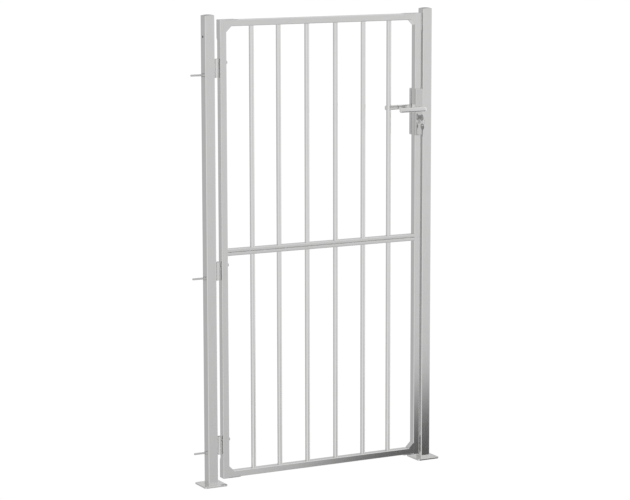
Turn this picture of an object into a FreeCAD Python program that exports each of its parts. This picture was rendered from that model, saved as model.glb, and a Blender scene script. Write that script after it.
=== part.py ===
import FreeCAD, Part
import os
import re
import Sketcher
from FreeCAD import Placement, Rotation, Vector

# A stainless steel garden gate: two posts on base plates, and a barred leaf made of two half frames,
# hung on three adjustable barrel hinges and closed by a narrow lock with a lever on each side.
# Millimetres. X runs along the gate from the hinge post to the latch post, Y through it, Z up.
# The origin is the centre of the hinge post, on the ground.

SIZES = (
    # posts
    ("post_side", 40.0, "outside width of a square post"),
    ("post_wall", 1.5, "wall of a post"),
    ("post_corner", 3.0, "outside corner radius of a post"),
    ("post_over_leaf", 14.5, "post tube above the top of the leaf"),
    ("clear_opening", 900.0, "clear width between the posts"),
    ("plate_side", 96.0, "side of a base plate"),
    ("plate_thick", 6.0, "thickness of a base plate"),
    ("plate_corner", 6.0, "corner radius of a base plate"),
    ("plate_edge", 1.0, "rounding of a base plate's upper edge"),
    ("anchor_spacing", 70.0, "spacing of the anchor holes"),
    ("anchor_hole", 11.0, "diameter of an anchor hole"),
    ("cap_flange", 3.0, "straight edge of a post cap"),
    ("cap_rise", 4.5, "height of the dome over that edge"),
    ("cap_plug", 14.0, "depth of the cap's plug inside the post"),
    ("cap_wall", 2.0, "wall of that plug"),
    ("vent_hole", 9.0, "hole in the outer side of the hinge post"),
    ("vent_drop", 75.5, "that hole below the post's top"),
    # leaf
    ("leaf_bottom", 22.5, "gap between the ground and the leaf"),
    ("leaf_height", 1760.0, "height of the leaf"),
    ("lower_height", 877.0, "height of the lower half frame"),
    ("seam_gap", 1.0, "gap between the two half frames"),
    ("latch_gap", 6.0, "gap between the leaf and the latch post"),
    ("frame_depth", 29.0, "depth of the frame tubes"),
    ("stile_face", 26.5, "face width of a stile"),
    ("rail_face", 25.0, "height of the top and bottom rails"),
    ("mid_rail_face", 12.5, "height of one middle rail"),
    ("frame_wall", 1.5, "wall of the frame tubes"),
    ("frame_corner", 2.5, "outside corner radius of the stiles and rails"),
    ("bar_across", 19.0, "diameter of a bar"),
    ("bar_wall", 1.2, "wall of a bar"),
    ("pitch_middle", 124.0, "distance between the two middle bars"),
    ("pitch_inner", 121.7, "from a middle bar to the next"),
    ("pitch_outer", 114.1, "from there to the outermost bar"),
    ("gusset_leg", 20.0, "leg of a corner gusset"),
    ("guard_leg", 75.0, "leg of a corner guard"),
    ("guard_thick", 1.5, "thickness of a corner guard"),
    ("guard_bend", 3.0, "outside radius of its bend"),
    ("guard_taper", 8.0, "length over which a guard's end thins out"),
    ("sleeve_length", 80.0, "length of a sleeve across the seam"),
    ("sleeve_wall", 2.0, "wall of a sleeve"),
    ("sleeve_play", 0.1, "gap between a sleeve and its stile"),
    # hinges
    ("post_to_axis", 15.0, "hinge axis from the face of the hinge post"),
    ("leaf_to_axis", 10.0, "hinge axis from the edge of the leaf"),
    ("knuckle_across", 16.0, "diameter of a hinge barrel"),
    ("knuckle_height", 35.0, "height of one barrel"),
    ("washer_thick", 1.0, "bearing washer between two barrels"),
    ("hinge_pin_across", 10.0, "diameter of a hinge pin"),
    ("pin_play", 0.05, "radial play of the upper barrel on its pin"),
    ("pin_short", 4.0, "pin end below the top of the upper barrel"),
    ("stud_across", 8.0, "diameter of a threaded stud"),
    ("stud_play", 0.25, "radial play of a stud in its hole"),
    ("stud_seat", 1.5, "depth to which a stud is let into its barrel"),
    ("stud_out", 51.0, "post stud beyond the outer face of the post"),
    ("stud_up", 12.2, "post stud above the foot of its hinge"),
    ("leaf_stud_up", 56.4, "leaf stud above the foot of its hinge"),
    ("leaf_stud_out", 8.0, "leaf stud beyond the inner face of the stile"),
    ("nut_flats", 13.0, "width across the flats of a nut"),
    ("nut_height", 6.5, "height of a full nut"),
    ("jam_height", 4.0, "height of a thin nut"),
    ("top_hinge_drop", 145.5, "top hinge below the top of the leaf"),
    ("mid_hinge_drop", 104.5, "foot of the middle hinge below the seam"),
    ("low_hinge_rise", 94.5, "foot of the bottom hinge above the foot of the leaf"),
    # lock
    ("lock_drop", 371.5, "spindle below the top of the leaf"),
    ("plate_drop", 13.5, "middle of the lock below its spindle"),
    ("escutcheon_height", 183.0, "height of an escutcheon"),
    ("escutcheon_width", 32.0, "width of an escutcheon"),
    ("escutcheon_depth", 12.0, "thickness of an escutcheon"),
    ("escutcheon_edge", 2.5, "rounding of its outer edges"),
    ("escutcheon_wall", 2.5, "wall of an escutcheon"),
    ("screw_spread", 164.0, "distance between the two escutcheon bolts"),
    ("screw_across", 5.0, "diameter of the small screws"),
    ("screw_head", 9.0, "diameter of their heads"),
    ("head_height", 1.5, "height of a countersunk head"),
    ("case_height", 150.0, "height of the lock case"),
    ("case_depth", 15.0, "thickness of the lock case"),
    ("case_wall", 1.2, "wall of the lock case"),
    ("case_play", 0.5, "gap between the case and the stile"),
    ("faceplate_height", 176.0, "height of the lock faceplate"),
    ("faceplate_width", 18.0, "width of the lock faceplate"),
    ("faceplate_thick", 1.5, "thickness of the lock faceplate"),
    ("faceplate_screw_in", 6.0, "its screws from its ends"),
    ("faceplate_screw_length", 10.0, "length of those screws"),
    ("spindle_side", 8.0, "side of the square spindle"),
    ("follower_across", 16.0, "diameter of the follower"),
    ("follower_length", 18.0, "length of the follower"),
    ("turn_play", 0.08, "radial play of the turning lock parts"),
    ("neck_across", 18.0, "diameter of a lever's neck"),
    ("lever_length", 105.75, "from the spindle to the tip of a lever"),
    ("lever_tail", 11.5, "lever beyond the spindle"),
    ("lever_height", 18.0, "height of a lever"),
    ("lever_depth", 10.0, "depth of a lever"),
    ("lever_corner", 5.0, "corner radius of a lever's ends"),
    ("lever_stand", 27.5, "from an escutcheon to its lever"),
    ("latch_rise", 26.0, "latch bolt above the spindle"),
    ("latch_height", 14.0, "height of the latch bolt"),
    ("latch_width", 12.0, "width of the latch bolt"),
    ("latch_throw", 12.0, "latch bolt beyond the leaf at rest"),
    ("latch_body", 11.0, "latch bolt inside the lock at rest"),
    ("latch_bevel", 8.0, "length of the bevel on its nose"),
    ("spring_across", 6.0, "outside diameter of the latch spring"),
    ("spring_wire", 0.7, "wire of the latch spring"),
    ("spring_turns", 7.0, "turns of the latch spring"),
    ("spring_room", 7.0, "depth of the spring's bore in the bolt"),
    ("bolt_play", 0.3, "gap round a bolt in its openings"),
    ("strike_play", 1.5, "gap round a bolt in the strike plate"),
    ("cylinder_drop", 34.0, "cylinder below the spindle"),
    ("cylinder_across", 17.0, "diameter of the round part of the cylinder"),
    ("cylinder_tail", 24.5, "foot of the cylinder below its axis"),
    ("tail_width", 10.0, "width of that foot"),
    ("cylinder_proud", 3.0, "cylinder beyond an escutcheon"),
    ("plug_across", 13.0, "diameter of a plug"),
    ("cam_width", 9.0, "width of the cam"),
    ("cam_across", 17.0, "diameter of the cam's ring"),
    ("cam_reach", 9.3, "reach of the cam's nose"),
    ("cam_play", 0.5, "gap on each side of the cam"),
    ("retaining_drop", 12.5, "retaining screw below the cylinder axis"),
    ("deadbolt_drop", 37.0, "deadbolt below the cylinder axis"),
    ("deadbolt_height", 16.0, "height of the deadbolt"),
    ("deadbolt_width", 10.0, "width of the deadbolt"),
    ("deadbolt_length", 22.0, "length of the deadbolt"),
    # strike
    ("strike_thick", 1.5, "thickness of the strike plate"),
    ("strike_width", 22.0, "width of the strike plate"),
    ("strike_over", 56.0, "strike plate above the latch bolt's axis"),
    ("strike_under", 26.0, "strike plate below the deadbolt's axis"),
    ("strike_screw_in", 9.0, "strike screws from the ends of the plate"),
    ("strike_screw_length", 12.0, "length of a strike screw"),
    # keys
    ("key_thick", 2.0, "thickness of a key"),
    ("bow_across", 25.0, "diameter of a key's bow"),
    ("bow_out", 15.0, "middle of the bow beyond the cylinder"),
    ("blade_height", 7.6, "height of a key's blade"),
    ("blade_length", 27.0, "blade from the edge of the bow to its tip"),
    ("key_play", 0.1, "gap between the blade and its keyway"),
    ("slot_length", 15.5, "length of the slot in a bow"),
    ("slot_width", 4.5, "width of that slot"),
    ("slot_off", 5.5, "slot beyond the middle of the bow"),
    ("ring_radius", 11.0, "mean radius of the key ring"),
    ("ring_wire", 2.0, "wire of the key ring"),
    ("ring_hang", 3.1, "ring wire above the middle of the rim it hangs on"),
    ("ring_rim", 1.75, "half the width of that rim"),
    ("wire_play", 0.1, "gap between the ring and the spare key"),
)

doc = FreeCAD.newDocument("garden_gate")
sheet = doc.addObject("Spreadsheet::Sheet", "Sizes")
for row, (alias, size, meaning) in enumerate(SIZES, start=1):
    sheet.set(f"A{row}", alias)
    sheet.set(f"B{row}", str(size))
    sheet.set(f"C{row}", meaning)
    sheet.setAlias(f"B{row}", alias)
doc.recompute()
NAMES = {alias for alias, _, _ in SIZES}

# Places that several pieces share, written in the sheet's names.
LEAF_LEFT = "(post_side / 2 + post_to_axis + leaf_to_axis)"
LEAF_RIGHT = "(post_side / 2 + clear_opening - latch_gap)"
LEAF_WIDTH = f"({LEAF_RIGHT} - {LEAF_LEFT})"
LEAF_MIDDLE = f"({LEAF_LEFT} + {LEAF_WIDTH} / 2)"
LEAF_TOP = "(leaf_bottom + leaf_height)"
SEAM = "(leaf_bottom + lower_height)"
UPPER_FOOT = f"({SEAM} + seam_gap)"
POST_TOP = f"({LEAF_TOP} + post_over_leaf)"
LATCH_POST = "(post_side + clear_opening)"
LATCH_FACE = "(post_side / 2 + clear_opening)"
HINGE_AXIS = "(post_side / 2 + post_to_axis)"
HINGE_HEIGHT = "(2 * knuckle_height + washer_thick)"
HINGE_FEET = (
    f"({LEAF_TOP} - top_hinge_drop - {HINGE_HEIGHT})",
    f"({SEAM} - mid_hinge_drop)",
    "(leaf_bottom + low_hinge_rise)",
)
LOCK_X = f"({LEAF_RIGHT} - stile_face / 2)"
SPINDLE_Z = f"({LEAF_TOP} - lock_drop)"
LOCK_Z = f"({SPINDLE_Z} - plate_drop)"
LATCH_Z = f"({SPINDLE_Z} + latch_rise)"
CYLINDER_Z = f"({SPINDLE_Z} - cylinder_drop)"
DEADBOLT_Z = f"({CYLINDER_Z} - deadbolt_drop)"
LEAF_FACE = "(frame_depth / 2)"
PLATE_FACE = f"({LEAF_FACE} + escutcheon_depth)"
CYLINDER_END = f"({PLATE_FACE} + cylinder_proud)"
CASE_WIDTH = "(stile_face - frame_wall - case_play)"
CASE_LEFT = f"({LEAF_RIGHT} - {CASE_WIDTH})"
EDGE_FACE = f"({LEAF_RIGHT} + faceplate_thick)"

ALONG_X = Rotation(Vector(0, 1, 0), 90)
ALONG_Y = Rotation(Vector(1, 0, 0), -90)
ALONG_Z = Rotation()


# How a size gets from the sheet to a piece.
def cells(text):
    """Turns the sheet's names in an expression into references to its cells."""
    return re.sub(r"[a-z][a-z_]+", lambda word: ("Sizes." if word[0] in NAMES else "") + word[0], text)


def number(text):
    """The value that an expression has now, for the first sketch of a curve."""
    return float(sheet.evalExpression(cells(text)))


def bind(thing, name, text):
    thing.setExpression(name, cells(text))


def put(thing, x, y, z, turn=ALONG_Z):
    thing.Placement = Placement(Vector(), turn)
    for axis, text in zip("xyz", (x, y, z)):
        bind(thing, f"Placement.Base.{axis}", text)
    return thing


# Plain solids and what is done with them.
def block(name, middle, size):
    """A box given by its middle and its three sizes."""
    box = doc.addObject("Part::Box", name)
    for side, text in zip(("Length", "Width", "Height"), size):
        bind(box, side, text)
    low = [f"{place} - ({text}) / 2" for place, text in zip(middle, size)]
    return put(box, *low)


def rod(name, start, across, length, turn=ALONG_Z):
    """A round bar from the middle of its first end."""
    bar = doc.addObject("Part::Cylinder", name)
    bind(bar, "Radius", f"({across}) / 2")
    bind(bar, "Height", length)
    return put(bar, *start, turn)


def join(name, pieces):
    """Pieces that are one solid."""
    whole = doc.addObject("Part::MultiFuse", name)
    whole.Shapes = pieces
    return whole


def cut(name, base, tools):
    """A piece with the tools taken out of it."""
    piece = doc.addObject("Part::Cut", name)
    piece.Base = base
    piece.Tool = tools[0] if len(tools) == 1 else join(name + "_tools", tools)
    return piece


def group(name, pieces):
    """Like pieces that stay separate solids in one node."""
    several = doc.addObject("Part::Compound", name)
    several.Links = pieces
    return several


# Sketches, and the features that stand on them.
def body(name):
    return doc.addObject("PartDesign::Body", name)


def sketch(owner, name, plane):
    flat = owner.newObject("Sketcher::SketchObject", f"{owner.Name}_{name}")
    face = next(item for item in owner.Origin.OriginFeatures if item.Role == plane)
    flat.AttachmentSupport = [(face, "")]
    flat.MapMode = "FlatFace"
    return flat


def dimension(flat, kind, where, text):
    at = flat.addConstraint(Sketcher.Constraint(kind, *where, number(text)))
    bind(flat, f"Constraints[{at}]", text)


def spot(flat, curve, point, x, y):
    """Holds one point of a curve at x, y."""
    for axis, kind, text in ((-2, "DistanceX", x), (-1, "DistanceY", y)):
        if text == "0":
            flat.addConstraint(Sketcher.Constraint("PointOnObject", curve, point, axis))
        else:
            dimension(flat, kind, (-1, 1, curve, point), text)


def circle(flat, x, y, across):
    centre = Vector(number(x), number(y), 0)
    curve = flat.addGeometry(Part.Circle(centre, Vector(0, 0, 1), number(across) / 2))
    spot(flat, curve, 3, x, y)
    dimension(flat, "Diameter", (curve,), across)


def polygon(flat, corners):
    points = [Vector(number(x), number(y), 0) for x, y in corners]
    first = flat.GeometryCount
    for at, point in enumerate(points):
        flat.addGeometry(Part.LineSegment(point, points[(at + 1) % len(points)]))
    for at, corner in enumerate(corners):
        after = first + (at + 1) % len(points)
        flat.addConstraint(Sketcher.Constraint("Coincident", first + at, 2, after, 1))
        spot(flat, first + at, 1, *corner)


def rectangle(flat, x, y, wide, tall):
    """A rectangle about the point x, y."""
    left, right = f"{x} - ({wide}) / 2", f"{x} + ({wide}) / 2"
    low, high = f"{y} - ({tall}) / 2", f"{y} + ({tall}) / 2"
    polygon(flat, ((left, low), (right, low), (right, high), (left, high)))


def rounded_rectangle(flat, wide, tall, radius):
    """A rectangle about the sketch's origin, with four round corners."""
    half_wide, half_tall, bend = number(wide) / 2, number(tall) / 2, number(radius)
    quarter = Vector(half_wide - bend, half_tall - bend, 0)
    centres = [Vector(quarter.x * x, quarter.y * y, 0) for x, y in ((1, -1), (1, 1), (-1, 1), (-1, -1))]
    outward = (Vector(0, -1, 0), Vector(1, 0, 0), Vector(0, 1, 0), Vector(-1, 0, 0))
    first = flat.GeometryCount
    for side in range(4):
        start = centres[side - 1] + outward[side] * bend
        end = centres[side] + outward[side] * bend
        flat.addGeometry(Part.LineSegment(start, end))
    for side in range(4):
        turn = Part.Circle(centres[side], Vector(0, 0, 1), bend)
        begin = (side - 1) * 1.5707963267948966
        flat.addGeometry(Part.ArcOfCircle(turn, begin, begin + 1.5707963267948966))
    for side in range(4):
        line, arc, after = first + side, first + 4 + side, first + (side + 1) % 4
        flat.addConstraint(Sketcher.Constraint("Tangent", line, 2, arc, 1))
        flat.addConstraint(Sketcher.Constraint("Tangent", arc, 2, after, 1))
        flat.addConstraint(Sketcher.Constraint(("Horizontal", "Vertical")[side % 2], line))
        if side:
            flat.addConstraint(Sketcher.Constraint("Equal", first + 4, arc))
    dimension(flat, "Radius", (first + 4,), radius)
    dimension(flat, "DistanceX", (first + 3, 1, first + 1, 1), wide)
    dimension(flat, "DistanceY", (first, 1, first + 2, 1), tall)
    dimension(flat, "DistanceX", (-1, 1, first + 1, 1), f"({wide}) / 2")
    dimension(flat, "DistanceY", (-1, 1, first + 2, 1), f"({tall}) / 2")


def pad(owner, flat, length, side="One side", back=False):
    """Raises a sketch; back turns it to the other side of the sketch's plane."""
    solid = owner.newObject("PartDesign::Pad", flat.Name + "_pad")
    solid.Profile = flat
    solid.SideType = side
    solid.Reversed = back
    bind(solid, "Length", length)
    owner.Tip = solid
    return solid


def pocket(owner, flat, length=None, side="One side", back=False):
    """Cuts a sketch out of a body, right through where no length is given."""
    doc.recompute()
    before = owner.Shape.Volume
    hollow = owner.newObject("PartDesign::Pocket", flat.Name + "_pocket")
    hollow.Profile = flat
    hollow.SideType = side
    hollow.Reversed = back
    if length is None:
        hollow.Type = "ThroughAll"
    else:
        bind(hollow, "Length", length)
    owner.Tip = hollow
    doc.recompute()
    if not owner.Shape.Volume < before - 0.5:
        raise SystemExit(f"{flat.Name} cuts nothing out of {owner.Label}")
    return hollow


def ease(owner, name, radius, chosen):
    """Rounds the edges of a body for which chosen(edge) is true."""
    doc.recompute()
    base = owner.Tip
    edges = [f"Edge{at}" for at, edge in enumerate(base.Shape.Edges, start=1) if chosen(edge)]
    if not edges:
        raise SystemExit(f"{name} finds no edge on {owner.Label}")
    fillet = owner.newObject("PartDesign::Fillet", f"{owner.Name}_{name}")
    fillet.Base = (base, edges)
    bind(fillet, "Radius", radius)
    owner.Tip = fillet
    return fillet


def tube(name, wide, tall, wall, corner, length):
    """A body holding a straight rectangular tube that rises from its origin."""
    owner = body(name)
    flat = sketch(owner, "section", "XY_Plane")
    rounded_rectangle(flat, wide, tall, corner)
    rounded_rectangle(flat, f"({wide}) - 2 * {wall}", f"({tall}) - 2 * {wall}", f"{corner} - {wall} / 2")
    pad(owner, flat, length)
    return owner


# Posts: square tube, drilled for the hinge studs on one side and slotted for the lock on the other.
POST_LENGTH = f"({POST_TOP} - plate_thick)"
hinge_post = tube("hinge_post", "post_side", "post_side", "post_wall", "post_corner", POST_LENGTH)
put(hinge_post, "0", "0", "plate_thick")
stud_holes = sketch(hinge_post, "stud_holes", "YZ_Plane")
for foot in HINGE_FEET:
    circle(stud_holes, "0", f"{foot} + stud_up - plate_thick", "stud_across + 2 * stud_play")
pocket(hinge_post, stud_holes, side="Symmetric")
vent = sketch(hinge_post, "vent", "YZ_Plane")
circle(vent, "0", f"{POST_LENGTH} - vent_drop", "vent_hole")
pocket(hinge_post, vent)

latch_post = tube("latch_post", "post_side", "post_side", "post_wall", "post_corner", POST_LENGTH)
put(latch_post, LATCH_POST, "0", "plate_thick")
LATCH_SLOT = ("latch_width + 2 * strike_play", "latch_height + 2 * strike_play")
DEADBOLT_SLOT = ("deadbolt_width + 2 * strike_play", "deadbolt_height + 2 * strike_play")
slots = sketch(latch_post, "slots", "YZ_Plane")
rectangle(slots, "0", f"{LATCH_Z} - plate_thick", *LATCH_SLOT)
rectangle(slots, "0", f"{DEADBOLT_Z} - plate_thick", *DEADBOLT_SLOT)
pocket(latch_post, slots)


# Strike plate: a thin plate screwed over the two slots.
STRIKE_TOP = f"({LATCH_Z} + strike_over)"
STRIKE_FOOT = f"({DEADBOLT_Z} - strike_under)"
STRIKE_FACE = f"({LATCH_FACE} - strike_thick)"
STRIKE_SCREWS = (f"{STRIKE_TOP} - strike_screw_in", f"{STRIKE_FOOT} + strike_screw_in")


def countersunk(name, x, y, z, length):
    """A screw along +X whose flat head starts at x."""
    head = doc.addObject("Part::Cone", name + "_head")
    bind(head, "Radius1", "screw_head / 2")
    bind(head, "Radius2", "screw_across / 2")
    bind(head, "Height", "head_height")
    put(head, x, y, z, ALONG_X)
    return join(name, [head, rod(name + "_shank", (x, y, z), "screw_across", length, ALONG_X)])


strike_screws = []
for at, height in enumerate(STRIKE_SCREWS, start=1):
    strike_screws.append(countersunk(f"strike_screw_{at}", STRIKE_FACE, "0", height, "strike_screw_length"))
strike_middle = (f"{STRIKE_FACE} + strike_thick / 2", "0", f"({STRIKE_TOP} + {STRIKE_FOOT}) / 2")
strike_blank = block("strike_blank", strike_middle,
                     ("strike_thick", "strike_width", f"{STRIKE_TOP} - {STRIKE_FOOT}"))
latch_hole = block("strike_latch_hole", (STRIKE_FACE, "0", LATCH_Z), ("4 * strike_thick", *LATCH_SLOT))
deadbolt_hole = block("strike_deadbolt_hole", (STRIKE_FACE, "0", DEADBOLT_Z),
                      ("4 * strike_thick", *DEADBOLT_SLOT))
strike_plate = cut("strike_plate", strike_blank, [latch_hole, deadbolt_hole, *strike_screws])
strike_screw_node = group("strike_screws", strike_screws)
drilled_post = cut("drilled_latch_post", latch_post, strike_screws)


# Base plates: flat plate with four anchor holes, welded under each post.
def base_plate(name, x):
    owner = body(name)
    flat = sketch(owner, "outline", "XY_Plane")
    rounded_rectangle(flat, "plate_side", "plate_side", "plate_corner")
    for x_sign in ("-", ""):
        for y_sign in ("-", ""):
            circle(flat, f"{x_sign}anchor_spacing / 2", f"{y_sign}anchor_spacing / 2", "anchor_hole")
    pad(owner, flat, "plate_thick")
    half, thick = number("plate_side") / 2, number("plate_thick")
    reach = half - number("plate_corner") - 0.1

    def rim(edge):
        middle = edge.CenterOfMass
        return edge.BoundBox.ZMin > thick - 0.01 and max(abs(middle.x), abs(middle.y)) > reach

    ease(owner, "rim", "plate_edge", rim)
    return put(owner, x, "0", "0")


hinge_post_plate = base_plate("hinge_post_plate", "0")
latch_post_plate = base_plate("latch_post_plate", LATCH_POST)


# Caps: a shallow dome the size of the post, with a hollow square plug pressed into the tube.
def cap(name, x):
    blank = body(name + "_blank")
    flat = sketch(blank, "outline", "XY_Plane")
    rounded_rectangle(flat, "post_side", "post_side", "post_corner")
    pad(blank, flat, "cap_flange + cap_rise")
    put(blank, x, "0", POST_TOP)
    # The dome starts at the straight edge over the middle of each side's end.
    dome_radius = "((post_side ^ 2 / 2 + cap_rise ^ 2) / (2 * cap_rise))"
    dome = doc.addObject("Part::Sphere", name + "_dome")
    bind(dome, "Radius", dome_radius)
    put(dome, x, "0", f"{POST_TOP} + cap_flange + cap_rise - {dome_radius}")
    top = doc.addObject("Part::Common", name + "_top")
    top.Base = blank
    top.Tool = dome
    inside = "(post_side - 2 * post_wall)"
    middle = (x, "0", f"{POST_TOP} - cap_plug / 2")
    outside = f"{inside} - 2 * cap_wall"
    plug = block(name + "_plug_blank", middle, (outside, outside, "cap_plug"))
    hollow = f"{outside} - 2 * cap_wall"
    room = block(name + "_plug_room", middle, (hollow, hollow, "2 * cap_plug"))
    legs = cut(name + "_plug", plug, [room])
    skirt = f"({inside} - 2 * (post_corner - post_wall))"
    collar = block(name + "_collar", (x, "0", f"{POST_TOP} - cap_wall / 2"), (skirt, skirt, "cap_wall"))
    return join(name, [top, collar, legs])


hinge_post_cap = cap("hinge_post_cap", "0")
latch_post_cap = cap("latch_post_cap", LATCH_POST)


# Leaf frame: upper and lower halves, each of two stiles and two rails, joined by sleeves in the stiles.
def stile(name, x, foot, height):
    owner = tube(name, "stile_face", "frame_depth", "frame_wall", "frame_corner", height)
    return put(owner, x, "0", foot)


HINGE_STILE = f"({LEAF_LEFT} + stile_face / 2)"
UPPER_HEIGHT = f"({LEAF_TOP} - {UPPER_FOOT})"
upper_hinge_stile = stile("upper_hinge_stile", HINGE_STILE, UPPER_FOOT, UPPER_HEIGHT)
lower_hinge_stile = stile("lower_hinge_stile", HINGE_STILE, "leaf_bottom", "lower_height")
upper_latch_stile = stile("upper_latch_stile", LOCK_X, UPPER_FOOT, UPPER_HEIGHT)
lower_latch_stile = stile("lower_latch_stile", LOCK_X, "leaf_bottom", "lower_height")

for owner, start, feet in ((upper_hinge_stile, UPPER_FOOT, HINGE_FEET[:1]),
                           (lower_hinge_stile, "leaf_bottom", HINGE_FEET[1:])):
    holes = sketch(owner, "stud_holes", "YZ_Plane")
    for foot in feet:
        circle(holes, "0", f"{foot} + leaf_stud_up - {start}", "stud_across + 2 * stud_play")
    pocket(owner, holes, side="Symmetric")

# The latch stile is cut for the lock: handle and cylinder go through it, the case in at its edge.
FACEPLATE_SCREWS = [f"{LOCK_Z} {sign} (faceplate_height / 2 - faceplate_screw_in)" for sign in "+-"]
case_slot = sketch(upper_latch_stile, "case_slot", "YZ_Plane")
rectangle(case_slot, "0", f"{LOCK_Z} - {UPPER_FOOT}", "case_depth + 2 * case_play",
          "case_height + 2 * case_play")
for height in FACEPLATE_SCREWS:
    circle(case_slot, "0", f"{height} - {UPPER_FOOT}", "screw_across")
pocket(upper_latch_stile, case_slot, back=True)
lock_holes = sketch(upper_latch_stile, "lock_holes", "XZ_Plane")
circle(lock_holes, "0", f"{SPINDLE_Z} - {UPPER_FOOT}", "neck_across + 2 * bolt_play")
rectangle(lock_holes, "0", f"{CYLINDER_Z} - {UPPER_FOOT} - (cylinder_tail - cylinder_across / 2) / 2",
          "cylinder_across + 2 * bolt_play", "cylinder_across / 2 + cylinder_tail + 2 * bolt_play")
for sign in "+-":
    height = f"{LOCK_Z} {sign} screw_spread / 2 - {UPPER_FOOT}"
    circle(lock_holes, "0", height, "screw_across + 2 * bolt_play")
pocket(upper_latch_stile, lock_holes, side="Symmetric")


def rail(name, foot, face):
    """A rail between the stiles, standing on foot."""
    owner = tube(name, face, "frame_depth", "frame_wall", "frame_corner", f"{LEAF_WIDTH} - 2 * stile_face")
    return put(owner, f"{LEAF_LEFT} + stile_face", "0", f"{foot} + {face} / 2", ALONG_X)


top_rail = rail("top_rail", f"{LEAF_TOP} - rail_face", "rail_face")
upper_mid_rail = rail("upper_mid_rail", UPPER_FOOT, "mid_rail_face")
lower_mid_rail = rail("lower_mid_rail", f"{SEAM} - mid_rail_face", "mid_rail_face")
bottom_rail = rail("bottom_rail", "leaf_bottom", "rail_face")

joint_sleeves = []
for side, x in (("hinge", HINGE_STILE), ("latch", LOCK_X)):
    sleeve = tube(f"{side}_joint_sleeve", "stile_face - 2 * frame_wall - 2 * sleeve_play",
                  "frame_depth - 2 * frame_wall - 2 * sleeve_play", "sleeve_wall", "frame_corner",
                  "sleeve_length")
    joint_sleeves.append(put(sleeve, x, "0", f"{SEAM} + seam_gap / 2 - sleeve_length / 2"))
joint_sleeve_node = group("joint_sleeves", joint_sleeves)


# Bars: round tube butted between the rails of each half.
def bar(name, x, foot, length):
    owner = body(name)
    flat = sketch(owner, "section", "XY_Plane")
    circle(flat, "0", "0", "bar_across")
    circle(flat, "0", "0", "bar_across - 2 * bar_wall")
    pad(owner, flat, length)
    return put(owner, x, "0", foot)


BAR_STEPS = ("pitch_middle / 2", "pitch_middle / 2 + pitch_inner",
             "pitch_middle / 2 + pitch_inner + pitch_outer")
BAR_PLACES = [f"{LEAF_MIDDLE} - ({step})" for step in reversed(BAR_STEPS)]
BAR_PLACES += [f"{LEAF_MIDDLE} + {step}" for step in BAR_STEPS]
UPPER_BAR = (f"{UPPER_FOOT} + mid_rail_face", f"{UPPER_HEIGHT} - mid_rail_face - rail_face")
LOWER_BAR = ("leaf_bottom + rail_face", "lower_height - rail_face - mid_rail_face")
bars = []
for half, (foot, length) in (("upper", UPPER_BAR), ("lower", LOWER_BAR)):
    for at, x in enumerate(BAR_PLACES, start=1):
        bars.append(bar(f"{half}_bar_{at}", x, foot, length))


# The four corners: a triangular gusset inside, and an angle of thin plate round the outside.
def four_corners(name, blank):
    """The lower left piece and its three mirror images in the leaf."""
    across = doc.addObject("Part::Mirroring", name + "_across")
    across.Source = blank
    across.Normal = Vector(1, 0, 0)
    bind(across, "Base.x", LEAF_MIDDLE)
    pieces = [blank, across]
    for source in (blank, across):
        above = doc.addObject("Part::Mirroring", source.Name + "_above")
        above.Source = source
        above.Normal = Vector(0, 0, 1)
        bind(above, "Base.z", "leaf_bottom + leaf_height / 2")
        pieces.append(above)
    return group(name, pieces)


gusset = body("gusset")
gusset_outline = sketch(gusset, "outline", "XZ_Plane")
polygon(gusset_outline, (("0", "0"), ("gusset_leg", "0"), ("0", "gusset_leg")))
pad(gusset, gusset_outline, "frame_depth", side="Symmetric")
put(gusset, f"{LEAF_LEFT} + stile_face", "0", "leaf_bottom + rail_face")
corner_gussets = four_corners("corner_gussets", gusset)

guard = body("guard")
guard_outline = sketch(guard, "outline", "XZ_Plane")
polygon(guard_outline, (("-guard_thick", "-guard_thick"), ("guard_leg - guard_taper", "-guard_thick"),
                        ("guard_leg", "0"), ("0", "0"), ("0", "guard_leg"),
                        ("-guard_thick", "guard_leg - guard_taper")))
pad(guard, guard_outline, "frame_depth", side="Symmetric")


def guard_heel(edge):
    middle = edge.CenterOfMass
    on_corner = middle.x < -0.01 and abs(middle.x - middle.z) < 0.01
    return on_corner and edge.BoundBox.YLength > 1


ease(guard, "heel", "guard_bend", guard_heel)
put(guard, LEAF_LEFT, "0", "leaf_bottom")
corner_guards = four_corners("corner_guards", guard)

# Hinges: on the post a barrel with its pin and a long stud, on the leaf a bored barrel with a short stud.
post_knuckles, hinge_pins, hinge_washers, post_studs, post_nuts = [], [], [], [], []
leaf_knuckles, leaf_studs, leaf_nuts = [], [], []
KNUCKLE_LEFT = f"({HINGE_AXIS} - knuckle_across / 2)"
KNUCKLE_RIGHT = f"({HINGE_AXIS} + knuckle_across / 2)"


def barrel(name, foot, bore, stud):
    """One barrel of a hinge, bored through and let in for the end of its stud."""
    blank = rod(name + "_blank", (HINGE_AXIS, "0", foot), "knuckle_across", "knuckle_height")
    hole = rod(name + "_bore", (HINGE_AXIS, "0", foot), bore, "knuckle_height")
    return cut(name, blank, [hole, stud])


def nut(name, x, z, height):
    """A six-sided nut on a stud, reaching from x towards +X."""
    sides = doc.addObject("Part::Prism", name + "_blank")
    sides.Polygon = 6
    bind(sides, "Circumradius", "nut_flats / sqrt(3)")
    bind(sides, "Height", height)
    put(sides, x, "0", z, ALONG_X)
    hole = rod(name + "_hole", (x, "0", z), "stud_across", height, ALONG_X)
    return cut(name, sides, [hole])


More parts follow.
